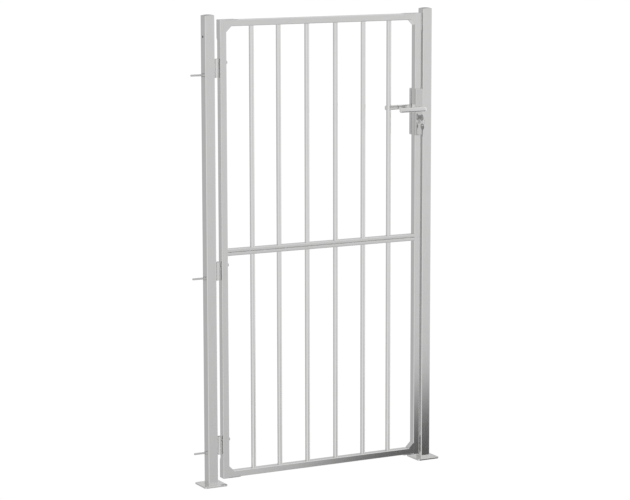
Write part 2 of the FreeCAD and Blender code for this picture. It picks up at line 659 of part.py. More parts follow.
STILE_INNER = f"({LEAF_LEFT} + stile_face)"
for place, foot in zip(("top", "middle", "bottom"), HINGE_FEET):
    post_stud = rod(f"{place}_post_stud", ("-post_side / 2 - stud_out", "0", f"{foot} + stud_up"),
                    "stud_across", f"post_side / 2 + stud_out + {KNUCKLE_LEFT} + stud_seat", ALONG_X)
    leaf_stud = rod(f"{place}_leaf_stud", (f"{KNUCKLE_RIGHT} - stud_seat", "0", f"{foot} + leaf_stud_up"),
                    "stud_across", f"{STILE_INNER} + leaf_stud_out - {KNUCKLE_RIGHT} + stud_seat", ALONG_X)
    upper_foot = f"{foot} + knuckle_height + washer_thick"
    post_studs.append(post_stud)
    leaf_studs.append(leaf_stud)
    post_knuckles.append(barrel(f"{place}_post_knuckle", foot, "hinge_pin_across", post_stud))
    bore = "hinge_pin_across + 2 * pin_play"
    leaf_knuckles.append(barrel(f"{place}_leaf_knuckle", upper_foot, bore, leaf_stud))
    hinge_pins.append(rod(f"{place}_hinge_pin", (HINGE_AXIS, "0", foot), "hinge_pin_across",
                          f"{HINGE_HEIGHT} - pin_short"))
    washer_foot = (HINGE_AXIS, "0", f"{foot} + knuckle_height")
    washer_blank = rod(f"{place}_washer_blank", washer_foot, "knuckle_across", "washer_thick")
    washer_hole = rod(f"{place}_washer_hole", washer_foot, "hinge_pin_across", "washer_thick")
    hinge_washers.append(cut(f"{place}_washer", washer_blank, [washer_hole]))
    outer_nut = nut(f"{place}_outer_nut", "-post_side / 2 - nut_height", f"{foot} + stud_up", "nut_height")
    post_nuts.append(outer_nut)
    post_nuts.append(nut(f"{place}_jam_nut", "post_side / 2", f"{foot} + stud_up", "jam_height"))
    leaf_nuts.append(nut(f"{place}_leaf_nut", STILE_INNER, f"{foot} + leaf_stud_up", "nut_height"))

hinge_nodes = [
    group("post_knuckles", post_knuckles),
    group("hinge_pins", hinge_pins),
    group("hinge_washers", hinge_washers),
    group("post_studs", post_studs),
    group("post_stud_nuts", post_nuts),
    group("leaf_knuckles", leaf_knuckles),
    group("leaf_studs", leaf_studs),
    group("leaf_stud_nuts", leaf_nuts),
]

# Lock case: a thin box inside the latch stile, open towards its faceplate.
LOCK_PLACE = (f"{CASE_LEFT} + {CASE_WIDTH} / 2", "0", LOCK_Z)
case_blank = block("case_blank", LOCK_PLACE, (CASE_WIDTH, "case_depth", "case_height"))
case_room = block("case_room", (f"{CASE_LEFT} + {CASE_WIDTH} / 2 + case_wall", "0", LOCK_Z),
                  (CASE_WIDTH, "case_depth - 2 * case_wall", "case_height - 2 * case_wall"))


def lock_rod(name, z, across, length):
    """A round bar through the lock, along Y and even about its middle."""
    return rod(name, (LOCK_X, f"-({length}) / 2", z), across, length, ALONG_Y)


def profile(name, play, length):
    """The cylinder's outline as a bar through the lock: a round head over a narrow foot."""
    grown = f"2 * ({play})"
    head = lock_rod(name + "_head", CYLINDER_Z, f"cylinder_across + {grown}", length)
    neck_height = "(cylinder_tail - tail_width / 2)"
    neck = block(name + "_neck", (LOCK_X, "0", f"{CYLINDER_Z} - {neck_height} / 2"),
                 (f"tail_width + {grown}", length, neck_height))
    foot = lock_rod(name + "_foot", f"{CYLINDER_Z} - {neck_height}", f"tail_width + {grown}", length)
    return join(name, [head, neck, foot])


case_hub_hole = lock_rod("case_hub_hole", SPINDLE_Z, "follower_across + 2 * turn_play", "frame_depth")
case_profile = profile("case_profile_hole", "turn_play", "frame_depth")
lock_case = cut("lock_case", case_blank, [case_room, case_hub_hole, case_profile])

# Faceplate: screwed on the edge of the stile, with openings for the two bolts and three screws.
def edge_screw(name, z, length):
    """A countersunk screw that runs back from the leaf's edge."""
    head = doc.addObject("Part::Cone", name + "_head")
    bind(head, "Radius1", "screw_across / 2")
    bind(head, "Radius2", "screw_head / 2")
    bind(head, "Height", "head_height")
    put(head, f"{EDGE_FACE} - head_height", "0", z, ALONG_X)
    shank = rod(name + "_shank", (f"{EDGE_FACE} - {length}", "0", z), "screw_across", length, ALONG_X)
    return join(name, [head, shank])


RETAINING_Z = f"({CYLINDER_Z} - retaining_drop)"
faceplate_screws = []
for at, height in enumerate(FACEPLATE_SCREWS, start=1):
    faceplate_screws.append(edge_screw(f"faceplate_screw_{at}", height, "faceplate_screw_length"))
cylinder_screw = edge_screw("cylinder_screw", RETAINING_Z, f"({EDGE_FACE} - {LOCK_X})")
faceplate_blank = block("faceplate_blank", (f"{LEAF_RIGHT} + faceplate_thick / 2", "0", LOCK_Z),
                        ("faceplate_thick", "faceplate_width", "faceplate_height"))
LATCH_OPENING = ("latch_width + 2 * bolt_play", "latch_height + 2 * bolt_play")
DEADBOLT_OPENING = ("deadbolt_width + 2 * bolt_play", "deadbolt_height + 2 * bolt_play")
plate_latch_hole = block("plate_latch_hole", (LEAF_RIGHT, "0", LATCH_Z),
                         ("4 * faceplate_thick", *LATCH_OPENING))
plate_bolt_hole = block("plate_bolt_hole", (LEAF_RIGHT, "0", DEADBOLT_Z),
                        ("4 * faceplate_thick", *DEADBOLT_OPENING))
lock_faceplate = cut("lock_faceplate", faceplate_blank,
                     [plate_latch_hole, plate_bolt_hole, cylinder_screw, *faceplate_screws])
faceplate_screw_node = group("faceplate_screws", faceplate_screws)


# Escutcheons: a hollow cast cover on each side of the latch stile.
def escutcheon(name, front):
    """A cover whose open back lies on the stile; front says which side it is on."""
    owner = body(name + "_shell")
    face = sketch(owner, "outline", "XZ_Plane")
    rounded_rectangle(face, "escutcheon_width", "escutcheon_height", "escutcheon_edge + 1")
    pad(owner, face, "escutcheon_depth", back=not front)
    outer = number("escutcheon_depth")

    def rim(edge):
        return edge.BoundBox.YLength < 0.01 and abs(abs(edge.CenterOfMass.y) - outer) < 0.01

    ease(owner, "rim", "escutcheon_edge", rim)
    room = sketch(owner, "room", "XZ_Plane")
    inside = "- 2 * escutcheon_wall"
    rounded_rectangle(room, f"escutcheon_width {inside}", f"escutcheon_height {inside}",
                      "escutcheon_wall / 2")
    pocket(owner, room, "escutcheon_depth - escutcheon_wall", back=front)
    put(owner, LOCK_X, f"-{LEAF_FACE}" if front else LEAF_FACE, LOCK_Z)
    through = f"2 * {CYLINDER_END} + 20"
    neck = lock_rod(name + "_neck_hole", SPINDLE_Z, "neck_across + 2 * bolt_play", through)
    return cut(name, owner, [neck, profile(name + "_profile_hole", "turn_play", through)])


front_cover = escutcheon("front_cover", True)
back_cover = escutcheon("back_cover", False)

# Two bolts hold the covers together through the stile; their round heads show on the back.
escutcheon_screws = []
for at, sign in enumerate("+-", start=1):
    height = f"{LOCK_Z} {sign} screw_spread / 2"
    inner = f"({PLATE_FACE} - escutcheon_wall)"
    shank = rod(f"cover_bolt_{at}_shank", (LOCK_X, f"-{inner}", height), "screw_across",
                f"2 * {inner} + escutcheon_wall", ALONG_Y)
    head = rod(f"cover_bolt_{at}_head", (LOCK_X, PLATE_FACE, height), "screw_head", "head_height", ALONG_Y)
    escutcheon_screws.append(join(f"cover_bolt_{at}", [shank, head]))
front_escutcheon = cut("front_escutcheon", front_cover, escutcheon_screws)
back_escutcheon = cut("back_escutcheon", back_cover, escutcheon_screws)
escutcheon_screw_node = group("escutcheon_screws", escutcheon_screws)

# Levers: a flat bar on a round neck, one on each side, driven by one square spindle.
SPINDLE_LENGTH = f"(2 * ({PLATE_FACE} + lever_stand))"
spindle = block("spindle", (LOCK_X, "0", SPINDLE_Z), ("spindle_side", SPINDLE_LENGTH, "spindle_side"))
follower_blank = lock_rod("follower_blank", SPINDLE_Z, "follower_across", "follower_length")
follower = cut("follower", follower_blank, [spindle])


def lever(name, front):
    owner = body(name + "_bar")
    grip = sketch(owner, "grip", "XZ_Plane")
    rounded_rectangle(grip, "lever_length + lever_tail", "lever_height", "lever_corner")
    pad(owner, grip, "lever_depth", back=not front)

    def front_rim(edge):
        return edge.BoundBox.YLength < 0.01 and abs(edge.CenterOfMass.y) > 1

    ease(owner, "rim", "lever_corner / 2", front_rim)
    side = "-" if front else ""
    put(owner, f"{LOCK_X} - (lever_length - lever_tail) / 2", f"{side}({PLATE_FACE} + lever_stand)",
        SPINDLE_Z)
    neck_length = "(lever_stand + escutcheon_wall)"
    start = f"-{PLATE_FACE} - lever_stand" if front else f"{PLATE_FACE} - escutcheon_wall"
    neck = rod(name + "_neck", (LOCK_X, start, SPINDLE_Z), "neck_across", neck_length, ALONG_Y)
    return cut(name, join(name + "_blank", [owner, neck]), [spindle])


front_lever = lever("front_lever", True)
back_lever = lever("back_lever", False)

# Latch bolt: a beveled nose that the strike pushes back, sprung from the back of the case.
latch_blank = body("latch_blank")
latch_outline = sketch(latch_blank, "outline", "XY_Plane")
polygon(latch_outline, (("-latch_body", "-latch_width / 2"),
                        ("latch_throw - latch_bevel", "-latch_width / 2"),
                        ("latch_throw", "latch_width / 2"),
                        ("-latch_body", "latch_width / 2")))
pad(latch_blank, latch_outline, "latch_height", side="Symmetric")
put(latch_blank, LEAF_RIGHT, "0", LATCH_Z)
LATCH_BACK = f"({LEAF_RIGHT} - latch_body)"
spring_bore = rod("spring_bore", (LATCH_BACK, "0", LATCH_Z), "spring_across + 2 * bolt_play",
                  "spring_room", ALONG_X)
latch_bolt = cut("latch_bolt", latch_blank, [spring_bore])

SPRING_START = f"({CASE_LEFT} + case_wall + spring_wire / 2)"
SPRING_LENGTH = f"({LATCH_BACK} + spring_room - spring_wire / 2 - {SPRING_START})"
coil = doc.addObject("Part::Helix", "latch_spring_coil")
bind(coil, "Radius", "(spring_across - spring_wire) / 2")
bind(coil, "Height", SPRING_LENGTH)
bind(coil, "Pitch", f"{SPRING_LENGTH} / spring_turns")
wire = doc.addObject("Part::Circle", "latch_spring_wire")
bind(wire, "Radius", "spring_wire / 2")
put(wire, "(spring_across - spring_wire) / 2", "0", "0", Rotation(Vector(1, 0, 0), 90))
latch_spring = doc.addObject("Part::Sweep", "latch_spring")
latch_spring.Sections = [wire]
latch_spring.Spine = (coil, ["Edge1"])
latch_spring.Solid = True
latch_spring.Frenet = True
put(latch_spring, SPRING_START, "0", LATCH_Z, ALONG_X)

# Deadbolt: drawn back flush with the faceplate.
deadbolt = block("deadbolt", (f"{EDGE_FACE} - deadbolt_length / 2", "0", DEADBOLT_Z),
                 ("deadbolt_length", "deadbolt_width", "deadbolt_height"))

# Cylinder: a body with a plug at each end and a cam between them, held by one screw from the faceplate.
PLUG_START = "(cam_width / 2 + cam_play)"
cylinder_blank = profile("cylinder_blank", "0", f"2 * {CYLINDER_END}")
plug_bore = lock_rod("plug_bore", CYLINDER_Z, "plug_across + 2 * turn_play", f"3 * {CYLINDER_END}")
cam_room = lock_rod("cam_room", CYLINDER_Z, "2 * (cam_reach + bolt_play)", f"2 * {PLUG_START}")
cylinder_body = cut("cylinder_body", cylinder_blank, [plug_bore, cam_room, cylinder_screw])

KEYWAY = ("key_thick + 2 * key_play", "blade_height + 2 * key_play")
front_plug_blank = rod("front_plug_blank", (LOCK_X, f"-{CYLINDER_END}", CYLINDER_Z), "plug_across",
                       f"{CYLINDER_END} - cam_width / 2", ALONG_Y)
rear_plug_blank = rod("rear_plug_blank", (LOCK_X, PLUG_START, CYLINDER_Z), "plug_across",
                      f"{CYLINDER_END} - {PLUG_START}", ALONG_Y)
keyway_size = (KEYWAY[0], "2 * blade_length", KEYWAY[1])
front_keyway = block("front_keyway", (LOCK_X, f"-{CYLINDER_END}", CYLINDER_Z), keyway_size)
rear_keyway = block("rear_keyway", (LOCK_X, CYLINDER_END, CYLINDER_Z), keyway_size)
front_plug = cut("front_plug", front_plug_blank, [front_keyway])
rear_plug = cut("rear_plug", rear_plug_blank, [rear_keyway])
cam_ring = lock_rod("cam_ring", CYLINDER_Z, "cam_across", "cam_width")
cam_bit = block("cam_bit", (LOCK_X, "0", f"{CYLINDER_Z} - cam_reach / 2"),
                ("cam_across / 3", "cam_width", "cam_reach"))
cam_nose = doc.addObject("Part::Common", "cam_nose")
cam_nose.Base = cam_bit
cam_nose.Tool = lock_rod("cam_sweep", CYLINDER_Z, "2 * cam_reach", "cam_width")
cylinder_cam = join("cylinder_cam", [cam_ring, cam_nose])

# Keys: one in the front plug, the other on the ring that hangs from its bow.
BOW_Y = f"({CYLINDER_END} + bow_out)"


def key_shape(name, slot_size):
    """A key in its body's YZ plane: bow about the origin, blade towards +Y, slot on the other side."""
    owner = body(name)
    bow = sketch(owner, "bow", "YZ_Plane")
    circle(bow, "0", "0", "bow_across")
    pad(owner, bow, "key_thick", side="Symmetric")
    blade = sketch(owner, "blade", "YZ_Plane")
    start = "bow_across / 4"
    tip = "bow_across / 2 + blade_length"
    shoulder = f"{tip} - blade_height / 2"
    polygon(blade, ((start, "-blade_height / 2"), (shoulder, "-blade_height / 2"), (tip, "0"),
                    (shoulder, "blade_height / 2"), (start, "blade_height / 2")))
    pad(owner, blade, "key_thick", side="Symmetric")
    slot = sketch(owner, "slot", "YZ_Plane")
    rectangle(slot, "-slot_off", "0", *slot_size)
    pocket(owner, slot, side="Symmetric")
    return owner


key = key_shape("key", ("slot_width", "slot_length"))
put(key, LOCK_X, f"-{BOW_Y}", CYLINDER_Z)
RING_Y = f"({BOW_Y} + slot_off)"
RING_PIVOT = f"({CYLINDER_Z} - slot_length / 2 - ring_rim)"
RING_MIDDLE = f"({RING_PIVOT} + ring_hang - ring_radius)"
RING_FOOT = f"({RING_MIDDLE} - ring_radius)"
key_ring = doc.addObject("Part::Torus", "key_ring")
bind(key_ring, "Radius1", "ring_radius")
bind(key_ring, "Radius2", "ring_wire / 2")
put(key_ring, LOCK_X, f"-{RING_Y}", RING_MIDDLE, ALONG_Y)

# The spare key hangs with its blade down, the upper edge of its slot on the ring's wire.
spare_key = key_shape("spare_key", ("slot_width", "slot_length"))
SPARE_BOW = f"({RING_FOOT} + ring_wire / 2 + wire_play - slot_width / 2 - slot_off)"
put(spare_key, LOCK_X, f"-{RING_Y}", SPARE_BOW, Rotation(Vector(1, 0, 0), -90))

doc.recompute()

NODES = {
    "hinge_post": hinge_post,
    "latch_post": drilled_post,
    "hinge_post_plate": hinge_post_plate,
    "latch_post_plate": latch_post_plate,
    "hinge_post_cap": hinge_post_cap,
    "latch_post_cap": latch_post_cap,
    "strike_plate": strike_plate,
    "strike_screws": strike_screw_node,
    "upper_hinge_stile": upper_hinge_stile,
    "upper_latch_stile": upper_latch_stile,
    "lower_hinge_stile": lower_hinge_stile,
    "lower_latch_stile": lower_latch_stile,
    "top_rail": top_rail,
    "upper_mid_rail": upper_mid_rail,
    "lower_mid_rail": lower_mid_rail,
    "bottom_rail": bottom_rail,
    "corner_gussets": corner_gussets,
    "corner_guards": corner_guards,
    "joint_sleeves": joint_sleeve_node,
    "lock_case": lock_case,
    "lock_faceplate": lock_faceplate,
    "faceplate_screws": faceplate_screw_node,
    "front_escutcheon": front_escutcheon,
    "back_escutcheon": back_escutcheon,
    "escutcheon_screws": escutcheon_screw_node,
    "cylinder_body": cylinder_body,
    "cylinder_screw": cylinder_screw,
    "rear_plug": rear_plug,
    "front_lever": front_lever,
    "back_lever": back_lever,
    "spindle": spindle,
    "follower": follower,
    "latch_bolt": latch_bolt,
    "latch_spring": latch_spring,
    "deadbolt": deadbolt,
    "front_plug": front_plug,
    "cylinder_cam": cylinder_cam,
    "key": key,
    "key_ring": key_ring,
    "spare_key": spare_key,
}
NODES.update({node.Label: node for node in bars + hinge_nodes})

for item in doc.Objects:
    if "Invalid" in item.State or "Error" in item.State:
        raise SystemExit(f"{item.Label} is {item.State}")
for label, node in NODES.items():
    if node.Shape.isNull() or not node.Shape.isValid() or not node.Shape.Solids:
        raise SystemExit(f"{label} has no valid solid")

# The label of the drilled post goes to the finished piece.
latch_post.Label = "latch_post_blank"
os.makedirs("parts", exist_ok=True)
for label, node in NODES.items():
    node.Label = label
    node.Shape.exportStep(f"parts/{label}.step")
print(f"{len(NODES)} nodes")
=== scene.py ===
import math

import bmesh
import bpy
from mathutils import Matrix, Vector


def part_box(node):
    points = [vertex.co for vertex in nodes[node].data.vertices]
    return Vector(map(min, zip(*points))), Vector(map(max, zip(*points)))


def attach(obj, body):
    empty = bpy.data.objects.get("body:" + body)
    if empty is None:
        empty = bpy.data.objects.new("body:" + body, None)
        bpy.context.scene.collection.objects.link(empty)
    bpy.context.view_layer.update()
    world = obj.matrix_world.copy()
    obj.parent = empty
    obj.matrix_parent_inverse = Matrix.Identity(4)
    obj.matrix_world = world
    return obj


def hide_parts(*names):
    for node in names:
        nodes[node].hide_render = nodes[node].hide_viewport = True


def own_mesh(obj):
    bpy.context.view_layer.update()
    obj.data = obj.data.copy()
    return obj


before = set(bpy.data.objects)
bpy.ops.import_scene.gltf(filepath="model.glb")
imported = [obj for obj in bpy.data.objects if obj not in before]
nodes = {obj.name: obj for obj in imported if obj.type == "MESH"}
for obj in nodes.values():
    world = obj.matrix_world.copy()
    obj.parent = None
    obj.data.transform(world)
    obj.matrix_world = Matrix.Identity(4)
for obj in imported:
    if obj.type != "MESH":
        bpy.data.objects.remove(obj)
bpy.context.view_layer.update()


# --------------------------------------------------------------------------------------------------
# Camera: higher than the gate and well to the left of it, with a long lens, tilted down by 9 degrees.
camera = bpy.data.objects.new("camera", bpy.data.cameras.new("camera"))
camera.location = (-3.94378, -8.3603, 2.37956)
camera.rotation_euler = (math.radians(80.9802), 0, math.radians(-28.36231))
camera.data.sensor_width = 36
camera.data.lens = 141.03685
camera.data.shift_x = -0.04251
camera.data.clip_end = 200
bpy.context.scene.collection.objects.link(camera)
bpy.context.scene.camera = camera
bpy.context.scene.view_settings.view_transform = "Standard"


# --------------------------------------------------------------------------------------------------
# Posts: 40 mm square stainless tube, satin ground along their length, each with a base plate that is
# sawn and ground, and a domed cap pressed into the top. The hinge post is drilled for the hinges' studs.
def new_material(name):
    material = bpy.data.materials.new(name)
    material.use_nodes = True
    material.node_tree.nodes.clear()
    return material, material.node_tree


def node(tree, kind, links=(), **values):
    """Adds a node. values set its properties; links pairs an input with a socket or a constant."""
    made = tree.nodes.new(kind)
    for name, value in values.items():
        setattr(made, name, value)
    for name, source in links:
        socket = made.inputs[name]
        if isinstance(source, bpy.types.NodeSocket):
            tree.links.new(source, socket)
        else:
            socket.default_value = source
    return made


def grey(level, warm=0.0):
    return (level + warm, level, level - warm, 1)


def spread(tree, noise, low, high):
    """Spreads the middle of a noise, where most of it lies, over low to high."""
    made = node(tree, "ShaderNodeMapRange", [("Value", noise.outputs["Fac"]), ("From Min", 0.3),
                                             ("From Max", 0.7), ("To Min", low), ("To Max", high)])
    return made.outputs[0]


def steel(name, tone, rough, grain, scratch=0.25, patch=0.012):
    """Brushed steel. grain is how closely its scratches are packed along each axis, per metre."""
    material, tree = new_material(name)
    place = node(tree, "ShaderNodeTexCoord").outputs["Object"]
    packed = node(tree, "ShaderNodeMapping", [("Vector", place), ("Scale", grain)])
    lines = node(tree, "ShaderNodeTexNoise", [("Vector", packed.outputs[0]), ("Scale", 1.0),
                                              ("Detail", 3.0), ("Roughness", 0.6)])
    cloud = node(tree, "ShaderNodeTexNoise", [("Vector", place), ("Scale", 9.0), ("Detail", 4.0),
                                              ("Roughness", 0.55)])
    smear = node(tree, "ShaderNodeTexNoise", [("Vector", place), ("Scale", 55.0), ("Detail", 2.0)])
    # Scratches and broad clouds vary the colour by a few percent.
    streaks = spread(tree, lines, 0.95, 1.035)
    clouds = spread(tree, cloud, 1 - patch, 1 + patch)
    shade = node(tree, "ShaderNodeMath", [(0, streaks), (1, clouds)], operation="MULTIPLY")
    base = node(tree, "ShaderNodeVectorMath", [(0, grey(tone, 0.003)[:3]), ("Scale", shade.outputs[0])],
                operation="SCALE")
    # Scratches and hand smears vary the gloss.
    gloss = spread(tree, lines, rough * 0.88, rough * 1.12)
    smeared = node(tree, "ShaderNodeMath", [(0, smear.outputs["Fac"]), (1, 0.02), (2, gloss)],
                   operation="MULTIPLY_ADD")
    bump = node(tree, "ShaderNodeBump", [("Strength", scratch), ("Distance", 0.00003),
                                         ("Height", lines.outputs["Fac"])])
    shader = node(tree, "ShaderNodeBsdfPrincipled", [("Base Color", base.outputs[0]), ("Metallic", 1.0),
                                                     ("Roughness", smeared.outputs[0]),
                                                     ("Normal", bump.outputs[0])])
    node(tree, "ShaderNodeOutputMaterial", [("Surface", shader.outputs[0])])
    return material


def dress(material, *names):
    """Gives CAD nodes a material."""
    for name in names:
        mesh = nodes[name].data
        mesh.materials.clear()
        mesh.materials.append(material)


upright_satin = steel("upright_satin", 0.85, 0.065, (900, 900, 14))
plate_satin = steel("plate_satin", 0.88, 0.10, (16, 700, 700), patch=0.03)
cap_satin = steel("cap_satin", 0.84, 0.08, (30, 600, 600), patch=0.02)
dress(upright_satin, "hinge_post", "latch_post")
dress(plate_satin, "hinge_post_plate", "latch_post_plate")
dress(cap_satin, "hinge_post_cap", "latch_post_cap")


# --------------------------------------------------------------------------------------------------
# Welds: each post stands in a fillet weld on its plate. The bead follows the foot of the tube, rippled
# where the pool froze step by step, and is brushed afterwards, so it stays a little duller.
def weld_tree():
    """Sweeps a rippled bead along the lines of a mesh."""
    tree = bpy.data.node_groups.new("weld_bead", "GeometryNodeTree")
    for name, kind, start in (("Seam", "Geometry", None), ("Bead radius", "Float", 0.001),
                              ("Ripple length", "Float", 0.0006), ("Unevenness", "Float", 0.15),
                              ("Seed", "Int", 1), ("Finish", "Material", None)):
        socket = tree.interface.new_socket(name, in_out="INPUT", socket_type="NodeSocket" + kind)
        if start is not None:
            socket.default_value = start
    tree.interface.new_socket("Bead", in_out="OUTPUT", socket_type="NodeSocketGeometry")
    given = tree.nodes.new("NodeGroupInput").outputs
    line = node(tree, "GeometryNodeMeshToCurve", [("Mesh", given["Seam"])])
    steps = node(tree, "GeometryNodeResampleCurve", [("Curve", line.outputs[0]),
                                                     ("Length", given["Ripple length"])], mode="LENGTH")
    # Every second step is thicker, and a noise makes the whole bead uneven.
    index = node(tree, "GeometryNodeInputIndex")
    beat = node(tree, "ShaderNodeMath", [(0, index.outputs[0]), (1, 2.0)], operation="MODULO")
    ripple = node(tree, "ShaderNodeMath", [(0, beat.outputs[0]), (1, 0.14), (2, 0.93)],
                  operation="MULTIPLY_ADD")
    pool = node(tree, "ShaderNodeTexNoise", [("W", given["Seed"]), ("Scale", 700.0)], noise_dimensions="4D")
    swing = node(tree, "ShaderNodeMath", [(0, pool.outputs[0]), (1, 0.5)], operation="SUBTRACT")
    wander = node(tree, "ShaderNodeMath", [(0, swing.outputs[0]), (1, given["Unevenness"])],
                  operation="MULTIPLY")
    thick = node(tree, "ShaderNodeMath", [(0, wander.outputs[0]), (1, 2.0), (2, ripple.outputs[0])],
                 operation="MULTIPLY_ADD")
    profile = node(tree, "GeometryNodeCurvePrimitiveCircle", [("Resolution", 8),
                                                              ("Radius", given["Bead radius"])])
    swept = node(tree, "GeometryNodeCurveToMesh", [("Curve", steps.outputs[0]),
                                                   ("Profile Curve", profile.outputs[0]),
                                                   ("Scale", thick.outputs[0]), ("Fill Caps", True)])
    smooth = node(tree, "GeometryNodeSetShadeSmooth", [("Geometry", swept.outputs[0])])
    solid = node(tree, "GeometryNodeRealizeInstances", [("Geometry", smooth.outputs[0])])
    finish = node(tree, "GeometryNodeSetMaterial", [("Geometry", solid.outputs[0]),
                                                    ("Material", given["Finish"])])
    node(tree, "NodeGroupOutput", [("Bead", finish.outputs[0])])
    return tree


def grown(mesh, tree, values):
    """The plain mesh that the tree makes of a mesh. values are the tree's inputs by name."""
    carrier = bpy.data.objects.new("carrier", mesh)
    bpy.context.scene.collection.objects.link(carrier)
    modifier = carrier.modifiers.new(tree.name, "NODES")
    modifier.node_group = tree
    for item in tree.interface.items_tree:
        if item.in_out == "INPUT" and item.name in values:
            modifier[item.identifier] = values[item.name]
    made = bpy.data.meshes.new_from_object(carrier.evaluated_get(bpy.context.evaluated_depsgraph_get()))
    carrier.modifiers.clear()
    bpy.data.objects.remove(carrier)
    return made


def add_piece(name, mesh, on_body, slot, *stands_for):
    """Adds a finished mesh to the gate, in place of the CAD nodes that it stands for."""
    piece = bpy.data.objects.new(name, mesh)
    bpy.context.scene.collection.objects.link(piece)
    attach(piece, on_body)
    if stands_for:
        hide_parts(*stands_for)
    return piece


def weld(name, seams, on_body, radius, seed=1):
    """Beads along closed lines of points."""
    points = []
    edges = []
    for seam in seams:
        first = len(points)
        points += seam
        edges += [(first + at, first + (at + 1) % len(seam)) for at in range(len(seam))]
    lines = bpy.data.meshes.new(name)
    lines.from_pydata(points, edges, [])
    bead = grown(lines, bead_tree, {"Bead radius": radius, "Ripple length": radius * 0.55, "Seed": seed,
                                    "Finish": weld_grey})
    add_piece(name, bead, on_body, "satin_stainless")


def middle(name, axis):
    """The middle of a CAD node along X, Y or Z, given as 0, 1 or 2."""
    low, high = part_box(name)
    return (low[axis] + high[axis]) / 2


def square_seam(x, half, corner, z):
    """A square line with round corners, round an upright tube centred on x."""
    points = []
    for quarter in range(4):
        for step in range(7):
            turn = math.radians(90 * quarter + 15 * step)
            side_x = (half - corner) * (1 if quarter in (0, 3) else -1)
            side_y = (half - corner) * (1 if quarter in (0, 1) else -1)
            points.append((x + side_x + corner * math.cos(turn), side_y + corner * math.sin(turn), z))
    return points


weld_grey = steel("weld_grey", 0.74, 0.22, (500, 500, 500), patch=0.05)
bead_tree = weld_tree()
FOOT_SEAM_OFF = 0.0003
FOOT_SEAM_CORNER = 0.003
foot_seams = []
for name in ("hinge_post", "latch_post"):
    low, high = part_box(name)
    half = (high[0] - low[0]) / 2 + FOOT_SEAM_OFF
    foot_seams.append(square_seam(middle(name, 0), half, FOOT_SEAM_CORNER, low[2]))
weld("post_foot_welds", foot_seams, "posts", radius=0.0016)


# --------------------------------------------------------------------------------------------------
# Leaf: two half frames of 29 mm deep tube, welded at the corners and ground flush, so each joint shows
# only as a filled, level seam. Folded guards cap the outer corners and small gussets brace the inner ones.
level_satin = steel("level_satin", 0.85, 0.065, (14, 900, 900))
dress(upright_satin, "upper_hinge_stile", "upper_latch_stile", "lower_hinge_stile", "lower_latch_stile",
      "joint_sleeves", "corner_gussets", "corner_guards")
dress(level_satin, "top_rail", "upper_mid_rail", "lower_mid_rail", "bottom_rail")


def smooth_mesh(name, shape, material, crease=35):
    """Makes a bmesh a mesh: faces outwards, smooth, but sharp where it turns past crease degrees."""
    bmesh.ops.recalc_face_normals(shape, faces=shape.faces)
    for face in shape.faces:
        face.smooth = True
    for edge in shape.edges:
        edge.smooth = edge.calc_face_angle(0) < math.radians(crease)
    mesh = bpy.data.meshes.new(name)
    shape.to_mesh(mesh)
    shape.free()
    mesh.materials.append(material)
    return mesh


def shell_mesh(name, shells, material, looped=False, crease=35):
    """A mesh of shells, each a list of rings of points. looped joins the last ring to the first."""
    shape = bmesh.new()
    for rings in shells:
        loops = [[shape.verts.new(point) for point in ring] for ring in rings]
        for low, high in zip(loops, loops[1:] + loops[:1] if looped else loops[1:]):
            for at in range(len(low)):
                after = (at + 1) % len(low)
                shape.faces.new((low[at], low[after], high[after], high[at]))
        if not looped:
            shape.faces.new(loops[0][::-1])
            shape.faces.new(loops[-1])
    return smooth_mesh(name, shape, material, crease)


LEAF_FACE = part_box("top_rail")[1][1]
SEAM_WIDTH = 0.003
SEAM_LAP = 0.0002
SEAM_ROOT = 0.0122
SEAM_PROUD = 0.00002
SEAM_EDGE = 0.0001
SEAM_INSET = 0.00012


def filled_seam(low, high, side):
    """A level strip of ground weld between two corners (x, z) of the leaf's face, on side -1 or 1."""
    face = side * (LEAF_FACE + SEAM_PROUD)
    rings = []
    for inset, y in ((0.0, side * SEAM_ROOT), (0.0, face - side * SEAM_EDGE), (SEAM_INSET, face)):
        rings.append([(low[0] + inset, y, low[1] + inset), (high[0] - inset, y, low[1] + inset),
                      (high[0] - inset, y, high[1] - inset), (low[0] + inset, y, high[1] - inset)])
    return rings


# Upright seams lie on the stiles, along the ends of the rails and gussets. Level ones lie on the top and
# bottom rails, along the gussets. Each laps a little over the piece beside it.
GUSSET_SIZE = 0.020
TUBE_ROUND = 0.0018
(left, _, bottom_foot), (right, _, bottom_top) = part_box("bottom_rail")
(_, _, top_foot), (_, _, top_top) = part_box("top_rail")
stile_seam_x = (left + SEAM_LAP - SEAM_WIDTH, right - SEAM_LAP)
stile_seam_z = [(bottom_foot + TUBE_ROUND, bottom_top + GUSSET_SIZE)]
for name in ("lower_mid_rail", "upper_mid_rail"):
    low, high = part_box(name)
    stile_seam_z.append((low[2] + SEAM_LAP, high[2] - SEAM_LAP))
stile_seam_z.append((top_foot - GUSSET_SIZE, top_top - TUBE_ROUND))
gusset_seam_x = (left + SEAM_LAP, right - GUSSET_SIZE + SEAM_LAP)
gusset_seam_z = (bottom_top + SEAM_LAP - SEAM_WIDTH, top_foot - SEAM_LAP)
gusset_seam_length = GUSSET_SIZE - 2 * SEAM_LAP
upright_seams = []
level_seams = []
for side in (-1, 1):
    for x in stile_seam_x:
        for foot, top in stile_seam_z:
            upright_seams.append(filled_seam((x, foot), (x + SEAM_WIDTH, top), side))
    for x in gusset_seam_x:
        for z in gusset_seam_z:
            level_seams.append(filled_seam((x, z), (x + gusset_seam_length, z + SEAM_WIDTH), side))
add_piece("upright_filled_seams", shell_mesh("upright_filled_seams", upright_seams, upright_satin),
          "leaf", "satin_stainless")
add_piece("level_filled_seams", shell_mesh("level_filled_seams", level_seams, level_satin),
          "leaf", "satin_stainless")


